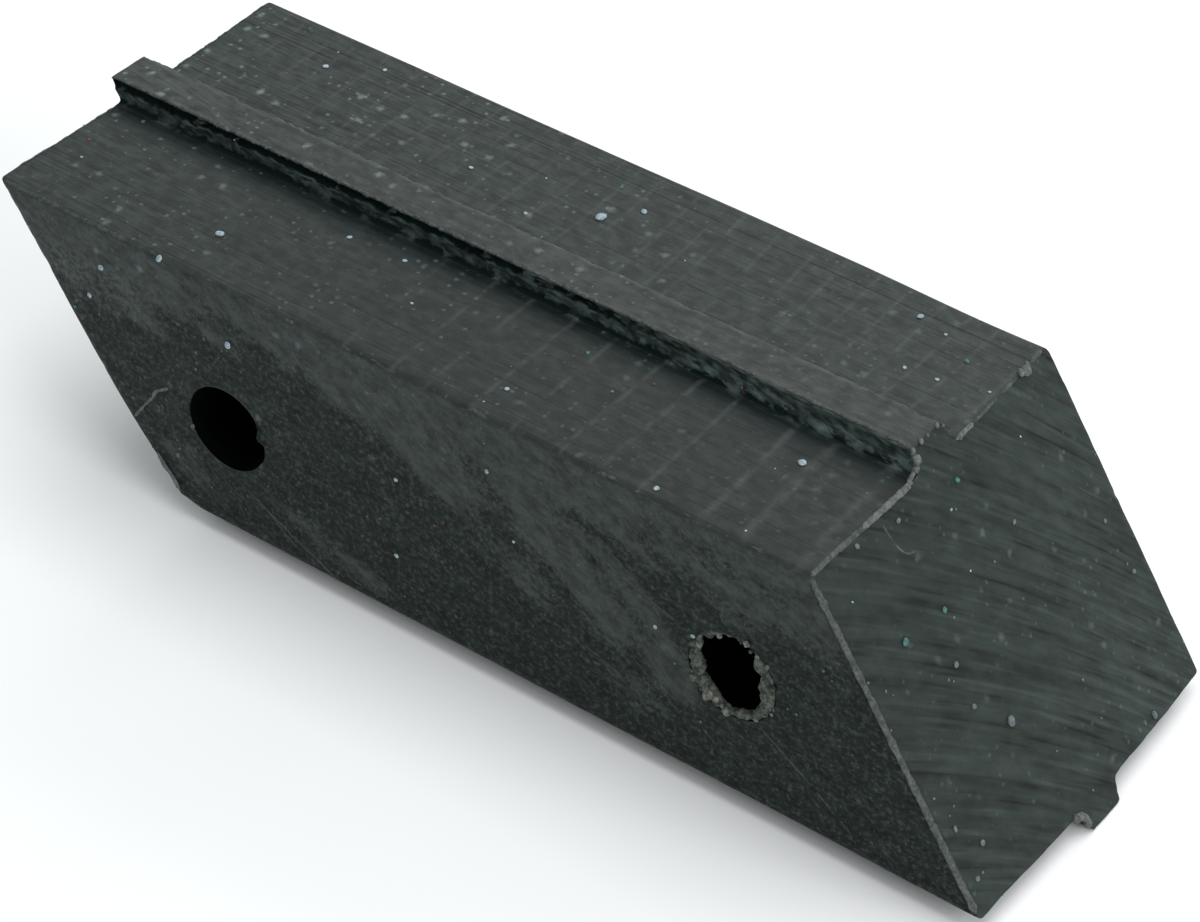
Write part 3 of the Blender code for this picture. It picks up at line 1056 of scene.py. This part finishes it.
# Rubbed patches of the front face: X, height above the middle, half length, half width, tilt in
# degrees, and strength, which is below zero where the face is darker than the patch it crosses
SMEARS = (
    (-40.0, 7.4, 9.0, 4.4, -8, 1.0), (-6.0, 6.6, 9.5, 3.6, -20, 0.9),
    (-2.0, 3.6, 6.5, 2.4, -24, 0.75), (8.5, 3.8, 8.0, 4.2, -34, 1.0),
    (14.0, -1.2, 5.0, 4.0, -30, 0.9), (20.5, -3.6, 4.4, 3.6, -34, 1.0),
    (17.0, -7.2, 4.8, 2.8, -20, 0.5), (25.5, 6.2, 6.0, 2.6, -24, 0.5),
    (-30.2, -7.2, 3.0, 2.2, 0, 0.55), (-16.0, -8.6, 6.5, 2.2, -22, 0.55),
    (-10.2, -10.0, 4.2, 1.7, -15, 0.5), (-6.0, -3.2, 5.0, 1.2, -16, 0.22),
    (16.0, 3.0, 6.5, 2.1, -37, 0.75), (19.0, 0.0, 4.2, 1.8, -37, 0.45),
    (12.0, 5.8, 3.0, 1.6, -20, 0.4), (25.5, 9.4, 9.5, 2.2, -8, -0.45),
    (-45.0, 4.6, 3.2, 3.0, -30, -0.6), (-8.0, -11.0, 10.0, 2.0, -8, 0.15),
    (1.0, 5.4, 4.0, 2.2, -36, 0.55), (6.0, -1.4, 6.0, 2.6, -28, 0.6),
    (-33.0, 5.6, 5.0, 2.2, -10, 0.5), (-27.5, -9.0, 4.5, 2.4, -14, 0.4),
    (-22.5, 8.2, 6.0, 1.8, -18, -0.4), (-22.0, -4.0, 8.0, 3.0, -20, -0.3),
    (6.0, -10.0, 8.0, 2.5, -10, -0.25),
)


def dust_spots(g, spacing, radius, share, shift):
    """A 0 to 1 mask of small soft specks of uneven shape, in a share of cells that lie spacing
    apart, and two numbers from 0 to 1 that differ from speck to speck."""
    laid = g.stretched(g.flat, (1 / spacing, 1 / spacing, 1), (shift, shift * 1.9, 0))
    sockets = {"Vector": laid, "Scale": 1.0}
    cells = g.add("TexVoronoi", sockets, voronoi_dimensions="2D", feature="F1")
    luck = g.axes(cells.outputs["Color"])
    present = g.math("LESS_THAN", luck[0], share)
    size = g.remap(luck[1], 0.0, 1.0, 0.5 * radius / spacing, radius / spacing)
    uneven = g.spread(g.flat_noise(radius, radius, 1, 0.5, shift), 0.75, 1.3)
    inside = g.remap(g.times(cells.outputs["Distance"], uneven), size, 0.0)
    return g.times(inside, present), luck[2], luck[1]


def dusted(g, colour, share, soft_share):
    """The colour with pale specks scattered over it, a few of them teal or rust. They lie thicker
    towards the left end."""
    fine, tint, _ = dust_spots(g, 0.95, 0.28, share, 3.1)
    soft, _, faint = dust_spots(g, 2.4, 0.55, soft_share, 11.9)
    speck = g.mix(g.math("GREATER_THAN", tint, 0.86), DUST_COLOUR, TEAL_DUST_COLOUR)
    speck = g.mix(g.math("LESS_THAN", tint, 0.05), speck, RUST_DUST_COLOUR)
    x, y, _ = g.axes()
    thick = g.remap(g.flat_noise(13, 8, 1, shift=6), 0.35, 0.65, 0.12, 0.6)
    to_right = g.times(g.remap(x, -45, 30, 1.0, 0.35), g.remap(y, -1, -4, 1.0, 0.6))
    colour = g.mix(g.times(fine, g.times(thick, to_right)), colour, speck)
    strength = g.times(g.remap(faint, 0.0, 1.0, 0.12, 0.55), to_right)
    return g.mix(g.times(soft, strength), colour, DUST_COLOUR)


def across_lines(g, along, pitch, half_width, shift):
    """A 0 to 1 mask of thin broken lines across the given coordinate, about pitch apart."""
    place = g.plus(g.math("DIVIDE", along, pitch), shift)
    sockets = {"W": place, "Scale": 1.0, "Randomness": 0.45}
    lines = g.add("TexVoronoi", sockets, voronoi_dimensions="1D")
    reach = g.math("DIVIDE", half_width, pitch)
    return g.remap(lines.outputs["Distance"], g.times(reach, 2.2), 0.0)


def ribbed_look(g):
    """The top and bottom: fine lengthwise score lines, light cross lines, a grey bloom and painted
    shade on the front ledge. Returns how much lighter than its colour each place is, how far it is
    rubbed pale, and its height."""
    x, y, _ = g.axes()
    half_tip = RIB_TIP_WIDTH / 2
    off_tip = g.remap(g.math("ABSOLUTE", y), half_tip - 0.1, half_tip + 0.3, 0.3, 1.0)
    on_tip = g.remap(off_tip, 0.5, 0.3)
    left = g.times(g.remap(x, -5, -38, 0.36, 1.0), g.times(off_tip, g.remap(y, -1, -4, 1.0, 0.6)))
    broad = g.flat_noise(48, 0.9)
    fine = g.flat_noise(6, 0.25, 1, 0.6, 5)
    bloom = g.flat_noise(1.7, 1.1, 2, 0.6, 8)
    grain = g.flat_noise(0.18, 0.17, 1, 0.7, 3)
    worn = g.flat_noise(2.4, 0.8, 2, 0.55, 12)
    scored = g.remap(g.flat_noise(70, 0.42, 0, 0.5, 9), 0.64, 0.74)
    slanting = g.remap(g.flat_noise(14, 0.3, 1, 0.6, 7, -11), 0.5, 0.68, 0.0, 0.3)
    seam = g.line(y, SCORE_LINE_Y, 0.2, 0.04)
    rub = g.line(y, RUB_LINE_Y, 0.25, 0.05)
    tone = g.plus(
        g.spread(broad, 0.94, 1.06),
        g.remap(bloom, 0.3, 0.75, -0.17, 0.2),
        g.remap(grain, 0.25, 0.75, -0.08, 0.08),
        g.times(left, g.remap(fine, 0.25, 0.75, -0.22, 0.22)),
        g.times(scored, left, -0.16),
        g.times(seam, -0.24),
        g.times(rub, g.remap(bloom, 0.35, 0.6, 0.0, 0.12)),
        g.times(on_tip, g.spread(worn, -0.13, 0.13)),
        g.times(slanting, g.times(on_tip, g.remap(x, -28, -40))),
    )

    # The cross lines lie nearer together behind the rib, and fade towards the left in front of it
    wander = g.remap(g.flat_noise(30, 30, 1, 0.5, 2), 0.2, 0.8, -0.5, 0.5)
    skewed = g.math("MULTIPLY_ADD", y, 0.03, g.plus(x, wander))
    rear_lines = g.times(across_lines(g, skewed, 2.95, 0.15, 2.7), 0.65)
    wide = g.remap(x, 18, 27, 0.18, 0.38)
    to_left = g.remap(x, -16, -5, 0.15, 0.75)
    front_lines = g.times(across_lines(g, skewed, 4.2, wide, 8.2), to_left)
    crossed = g.axes(g.between(g.remap(y, -1.0, 1.0), front_lines, rear_lines))[0]
    broken = g.remap(g.flat_noise(1.6, 1.8, 2, 0.6, 4), 0.34, 0.64, 0.1, 1.0)
    tip_line = g.line(y, half_tip - 0.3, 0.6, 0.05, 0.0, 0.8)
    lip_line = g.line(y, 0.2 - half_tip, 0.7, 0.1, 0.0, 0.6)
    edges = g.times(g.most(tip_line, lip_line), g.remap(bloom, 0.3, 0.6, 0.2, 0.9))
    rubbed = g.most(g.times(crossed, broken, off_tip), edges)

    # The front ledge is darker than the rear, the more so to the right, with the rib's painted
    # shadow beside it and painted shade in the crease at its torn foot
    foot_y = g.plus(y, g.spread(bloom, -0.35, 0.35))
    lighter = g.remap(x, 18, 30, 0.42, 0.58)
    # Painted shadow of the rib on the ledge, and painted shade at the rib's foot
    by_rib = g.times(g.remap(y, -6.6, -4.2, 1.0, 0.62), g.remap(foot_y, -4.55, -3.6, 1.0, lighter))
    front_tone_and_shade = g.times(by_rib, 0.69, g.remap(x, -48, -2, 1.0, 0.78))
    in_front = g.remap(y, -2.1, -2.9)
    rear_share = g.times(g.math("SUBTRACT", 1.0, in_front), g.remap(x, -50, -36, 0.79, 0.72))
    tone = g.times(tone, g.math("MULTIPLY_ADD", front_tone_and_shade, in_front, rear_share))
    height = g.plus(g.times(broad, 0.4), g.times(fine, 0.3))
    height = g.plus(height, g.plus(g.times(scored, -0.4), g.times(seam, -0.5)))
    return tone, g.times(rubbed, 0.3), height


def plain_look(g):
    """The front and back: a smooth moulded skin with pale granular flecks and swirled, rubbed-on
    smears, and a band under the top edge that is partly painted light. Returns its colour and
    height."""
    x, y, z = g.axes()
    flecks, fleck_luck, _ = dust_spots(g, 0.6, 0.26, 0.62, 1.7)
    grit, grit_luck, _ = dust_spots(g, 1.3, 0.45, 0.5, 4.3)
    grain = g.flat_noise(0.22, 0.2, 2, 0.75)
    granules = g.flat_noise(0.5, 0.42, 2, 0.65, 15)
    blotch = g.flat_noise(1.6, 1.0, 2, 0.55, 13, -25)
    mottle = g.flat_noise(2.6, 1.5, 3, 0.72, 4, -25)
    clots = g.flat_noise(0.75, 0.5, 2, 0.6, 9, -25)
    swirl = g.flat_noise(8.0, 1.2, 2, 0.55, 2, -29, 0.35)
    patches = g.flat_noise(17, 5.2, 2, 0.55, 8, -24)
    wander = g.remap(g.flat_noise(9, 5, 2, 0.6, 6, -20), 0.25, 0.75, -1.8, 1.8)

    # The skin is lightest in the smears and just below the top edge, where the band is partly
    # rubbed and partly painted light
    drop = g.math("SUBTRACT", LEDGE_TOP, z)
    light = g.remap(g.plus(drop, wander), 7.4, 2.2)
    for along, rise, half_length, half_width, tilt, strength in SMEARS:
        spot = g.patch((along, FRONT_Y, MID_Z + rise), (half_length, 8.0, half_width), tilt)
        light = g.math("MULTIPLY_ADD", spot, strength, light)
    light = g.plus(light, g.times(g.remap(y, 0.0, 4.0), g.remap(patches, 0.5, 0.66)))
    light = g.plus(light, g.plus(g.spread(swirl, -0.1, 0.1), g.spread(blotch, -0.1, 0.1)))
    light = g.remap(light, -0.05, 1.0)
    colour = g.mix(light, PLAIN_COLOUR, SMEAR_AND_PAINTED_LIGHT_COLOUR)

    # Its grain shows in the dark parts, and low down by the left end
    low_left = g.times(g.remap(x, -27, -36, 0.0, 0.85), g.remap(drop, 2.6, 5.0))
    deep = g.most(g.remap(light, 0.3, 1.0, 1.0, 0.25), low_left)
    granular = g.plus(g.remap(grain, 0.28, 0.72, -0.2, 0.2), g.spread(granules, -0.4, 0.4))
    tone = g.plus(
        g.spread(mottle, 0.78, 1.22),
        g.times(g.spread(clots, -0.25, 0.3), deep),
        g.spread(blotch, -0.13, 0.13),
        g.times(granular, deep),
        g.spread(swirl, -0.09, 0.09),
    )
    height = g.plus(g.times(grain, 0.6), g.times(flecks, 0.4))
    flecks = g.times(flecks, g.remap(fleck_luck, 0.4, 1.0, 0.0, 0.95))
    grit = g.times(grit, g.remap(grit_luck, 0.3, 1.0, 0.0, 0.72))
    pale = g.most(flecks, grit, g.remap(granules, 0.5, 0.78, 0.0, 0.55))
    pale = g.times(pale, g.times(deep, g.remap(mottle, 0.35, 0.65, 0.55, 1.15)))
    return g.mix(pale, g.scaled(colour, tone), FLECK_COLOUR), height


def skin_material():
    """All the outside faces but the sawn ends: ribbed faces, plain faces and torn rib walls."""
    g = Graph("rubber_skin")
    x, y, z = g.axes()
    _, _, up = g.axes(g.add("NewGeometry").outputs["Normal"])
    uneven = g.spread(g.noise((1.4, 1.4, 1.4), 2, 0.6), -0.22, 0.2)
    ribbed = g.remap(g.plus(g.math("ABSOLUTE", up), uneven), 0.15, 0.75)
    level = g.math("GREATER_THAN", ribbed, 0.5)
    g.lay(x, g.axes(g.between(level, z, y))[0])
    torn = g.weight("torn")
    hollow = g.weight("hollow")
    tone, rubbed, ribbed_height = ribbed_look(g)
    off_middle = g.math("ABSOLUTE", g.math("SUBTRACT", z, MID_Z))
    on_tip = g.remap(off_middle, HALF_HEIGHT + RIB_RISE * 0.72, HALF_HEIGHT + RIB_RISE * 0.92)
    by_rib = g.times(g.remap(y, -6.0, -3.6), g.remap(y, -2.0, -2.8))
    ribbed_colour = g.mix(by_rib, RIBBED_COLOUR, FOOT_COLOUR)
    ribbed_colour = g.scaled(g.mix(on_tip, ribbed_colour, RIB_TIP_COLOUR), tone)
    ribbed_colour = g.mix(rubbed, ribbed_colour, CROSS_COLOUR)
    plain_colour, plain_height = plain_look(g)
    colour = g.mix(ribbed, plain_colour, ribbed_colour)
    share = g.plus(g.remap(ribbed, 0.0, 1.0, 0.12, 0.3), g.times(on_tip, 0.1))
    soft_share = g.plus(g.remap(ribbed, 0.0, 1.0, 0.1, 0.34), g.times(on_tip, 0.08))
    colour = dusted(g, colour, share, soft_share)

    # The torn wall is crumbly and lighter towards the right, with painted shade darkest in its
    # groove and crease
    crumbs = g.flat_noise(1.6, 0.5, 2, 0.5, 2, -10)
    bridges = g.flat_noise(2.3, 0.8, 1, 0.5, 7, -12)
    torn_tone = g.remap(crumbs, 0.32, 0.68, 0.5, 1.8)
    torn_tone = g.times(torn_tone, g.remap(bridges, 0.4, 0.65, 0.8, 1.35))
    torn_colour = g.scaled(TORN_COLOUR, g.times(torn_tone, g.remap(x, -14, 27, 0.98, 1.8)))
    # Painted shade: the groove and crease go towards near black, in patches
    patchy = g.times(hollow, g.remap(crumbs, 0.36, 0.62, 1.25, 0.6))
    torn_colour = g.mix(g.remap(patchy, 0.05, 0.52), torn_colour, GROOVE_SHADE_COLOUR)
    colour = g.mix(torn, colour, torn_colour)
    height = g.between(ribbed, plain_height, ribbed_height)
    height = g.mix(torn, height, g.scaled((3, 3, 3), crumbs))
    roughness = g.most(g.spread(g.flat_noise(3, 0.8), 0.46, 0.6), g.times(torn, 0.95))
    return g.finish(colour, roughness, g.bump(g.axes(height)[0], 0.045))


def sawn_material():
    """The sawn ends: like arcs of the blade's marks, one above the other."""
    g = Graph("rubber_sawn")
    _, y, z = g.axes()
    slope = g.math("DIVIDE", g.math("SUBTRACT", z, MID_Z), math.cos(RIGHT_LEAN))
    level = g.plus(slope, g.times(y, g.math("MULTIPLY_ADD", y, SAW_CURVE, SAW_FALL)))
    g.lay(g.times(g.math("SUBTRACT", y, slope), SAW_ALONG), g.times(level, SAW_ACROSS))
    coarse = g.flat_noise(15, 0.95, 2, 0.5, 1.7)
    fine = g.flat_noise(7, 0.32, 1, 0.6, 8.2)
    deep = g.remap(g.flat_noise(10, 0.5, 1, 0.5, 4.4), 0.58, 0.78)
    light = g.remap(g.flat_noise(11, 0.6, 1, 0.5, 6.1), 0.54, 0.78)
    mottle = g.flat_noise(2.6, 1.2, 2, 0.6, 2.9)
    grain = g.flat_noise(0.2, 0.18, 1, 0.7, 5.5)
    tone = g.plus(
        g.spread(coarse, 0.76, 1.24),
        g.spread(fine, -0.04, 0.04),
        g.spread(mottle, -0.17, 0.17),
        g.remap(grain, 0.25, 0.75, -0.05, 0.05),
        g.times(deep, -0.34),
        g.times(light, 0.38),
    )
    # Painted light: the ends are lighter towards the back and towards the bottom
    lit = g.times(g.remap(y, -17, 17, 0.90, 1.10), g.remap(z, 0, 28, 1.06, 0.94))
    tinted = g.scaled(SAWN_COLOUR, g.times(tone, lit))
    g.lay(y, slope)
    colour = dusted(g, tinted, 0.2, 0.3)
    height = g.plus(g.times(coarse, 0.6), g.times(fine, 0.35), g.times(deep, -0.5))
    return g.finish(colour, g.spread(fine, 0.48, 0.62), g.bump(height, 0.06))


def bore_material():
    """The drilled walls: painted near black for the shade deep in the holes, with dull rings left
    by the drill, and scratched below the nick in the left one."""
    g = Graph("rubber_bored")
    rings = g.noise((6, 0.25, 6), 2, 0.6)
    # Painted shade: the bore's colour is near black
    colour = g.scaled(BORE_SHADE_COLOUR, g.spread(rings, 0.6, 1.5))
    cx, _, cz = min(HOLES)
    below_nick = g.patch((cx + HOLE_RADIUS, FRONT_Y + 2.0, cz - 1.0), (2.5, 3.5, 1.8), 0)
    scratches = g.remap(g.noise((0.22, 2.5, 0.22), 1, 0.5, (1, 4, 2)), 0.56, 0.68)
    colour = g.mix(g.times(below_nick, scratches), colour, SCRATCH_COLOUR)
    return g.finish(colour, g.spread(rings, 0.8, 0.95), g.bump(rings, 0.05), 0.03)


def pale_material(name, colour, dark, size):
    """Frayed rubber and dust: pale where it is thin, and darker between."""
    g = Graph(name)
    lump = g.noise((size, size, size), 3, 0.65)
    fine = g.noise((size * 0.3,) * 3, 2, 0.6)
    tinted = g.mix(g.remap(lump, 0.32, 0.66), dark, colour)
    return g.finish(g.scaled(tinted, g.spread(fine, 0.75, 1.25)), 0.8, g.bump(fine, 0.03))


# ---------------------------------------------------------------- stage

FLOOR_HALF = 3000.0
FLOOR_Z = -0.1  # clear of the worn underside
WORLD_COLOUR = (0.93, 0.97, 1.0, 1.0)
WORLD_STRENGTH = 0.55
LIGHT_AIM = (0, 0, 12)
# Soft lights: name, place, width and height, and power in watts
LIGHTS = (
    ("key_overhead", (0, 100, 1300), (1000, 1000), 8.4),
    ("low_behind", (-150, 1000, 620), (1100, 600), 5.0),
    ("fill_right", (1000, -100, 500), (800, 600), 7.0),
)
# The camera that was fitted to the photo's corners and hole rims
CAMERA_PLACE = (144.39, -195.43, 211.89)
CAMERA_TURN = (50.319, -0.715, 36.929)
CAMERA_LENS = 115.66
CAMERA_SENSOR = 36.0
CAMERA_CLIP = (0.01, 20.0)


def floor():
    g = Graph("pale_floor")
    grain = g.noise((60, 60, 60), 3, 0.5)
    g.finish(g.scaled(FLOOR_COLOUR, g.spread(grain, 0.985, 1.015)), 0.85, None, 0.1)
    h = FLOOR_HALF
    corners = [(u, v, FLOOR_Z) for u, v in ((-h, -h), (h, -h), (h, h), (-h, h))]
    made = new_object("floor", corners, [(0, 1, 2, 3)], [g.material])


def in_scene(name, data, place):
    made = bpy.data.objects.new(name, data)
    made.location = Vector(place) * MM
    bpy.context.scene.collection.objects.link(made)
    return made


def studio():
    world = bpy.data.worlds.new("studio")
    world.use_nodes = True
    sky = world.node_tree.nodes["Background"].inputs
    sky["Color"].default_value = WORLD_COLOUR
    sky["Strength"].default_value = WORLD_STRENGTH
    bpy.context.scene.world = world
    bpy.context.scene.view_settings.view_transform = "Standard"
    for name, place, (width, height), power in LIGHTS:
        lamp = bpy.data.lights.new(name, "AREA")
        lamp.shape = "RECTANGLE"
        lamp.size, lamp.size_y = width * MM, height * MM
        lamp.energy = power
        towards = Vector(LIGHT_AIM) - Vector(place)
        in_scene(name, lamp, place).rotation_euler = towards.to_track_quat("-Z", "Y").to_euler()


def camera():
    lens = bpy.data.cameras.new("camera")
    lens.lens = CAMERA_LENS
    lens.sensor_width = CAMERA_SENSOR
    lens.clip_start, lens.clip_end = CAMERA_CLIP
    made = in_scene("camera", lens, CAMERA_PLACE)
    made.rotation_euler = Euler([math.radians(a) for a in CAMERA_TURN], "XYZ")
    bpy.context.scene.camera = made


# Materials of the small pieces: the thin colour, the darker one between, and the lumps' size
PALE_LOOKS = {
    "torn_rubber": ((0.125, 0.135, 0.13), (0.075, 0.083, 0.078), 0.5),
    "frayed_rubber": ((0.078, 0.086, 0.079), (0.042, 0.050, 0.046), 0.8),
    "crumbled_rubber": ((0.105, 0.115, 0.100), (0.022, 0.026, 0.022), 0.55),
    "loose_crumbs": ((0.185, 0.195, 0.165), (0.06, 0.066, 0.056), 0.4),
    "scuffed_rubber": ((0.064, 0.073, 0.068), (0.034, 0.042, 0.039), 0.6),
    "pale_dust": ((0.36, 0.45, 0.49), (0.20, 0.25, 0.27), 0.25),
    "teal_dust": ((0.08, 0.19, 0.175), (0.04, 0.095, 0.09), 0.25),
    "rust_dust": ((0.15, 0.065, 0.055), (0.09, 0.04, 0.035), 0.25),
    "dull_dust": ((0.125, 0.15, 0.155), (0.08, 0.1, 0.105), 0.25),
}
# Each piece is named after the function that fills its pile
PIECES = (
    (right_end_burrs, ("torn_rubber", "frayed_rubber")),
    (bottom_rib_flake, ("torn_rubber",)),
    (right_hole_burr, ("crumbled_rubber", "loose_crumbs")),
    (left_tears, ("torn_rubber",)),
    (rib_edge_burrs, ("frayed_rubber",)),
    (edge_dashes, ("scuffed_rubber",)),
    (front_scuffs, ("scuffed_rubber",)),
    (dust_specks, ("pale_dust", "teal_dust", "rust_dust", "dull_dust")),
)


def main():
    random.seed(7)
    camera()
    studio()
    floor()
    body = block_body([skin_material(), sawn_material(), bore_material()])
    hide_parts(NODE)
    surface = Surface(body)
    looks = {name: pale_material(name, *look) for name, look in PALE_LOOKS.items()}
    pieces = [body]
    for fill, names in PIECES:
        pile = Pile(surface)
        fill(pile)
        pieces.append(pile.make(fill.__name__, [looks[name] for name in names]))
    for piece in pieces:
        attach(piece, BODY)


main()
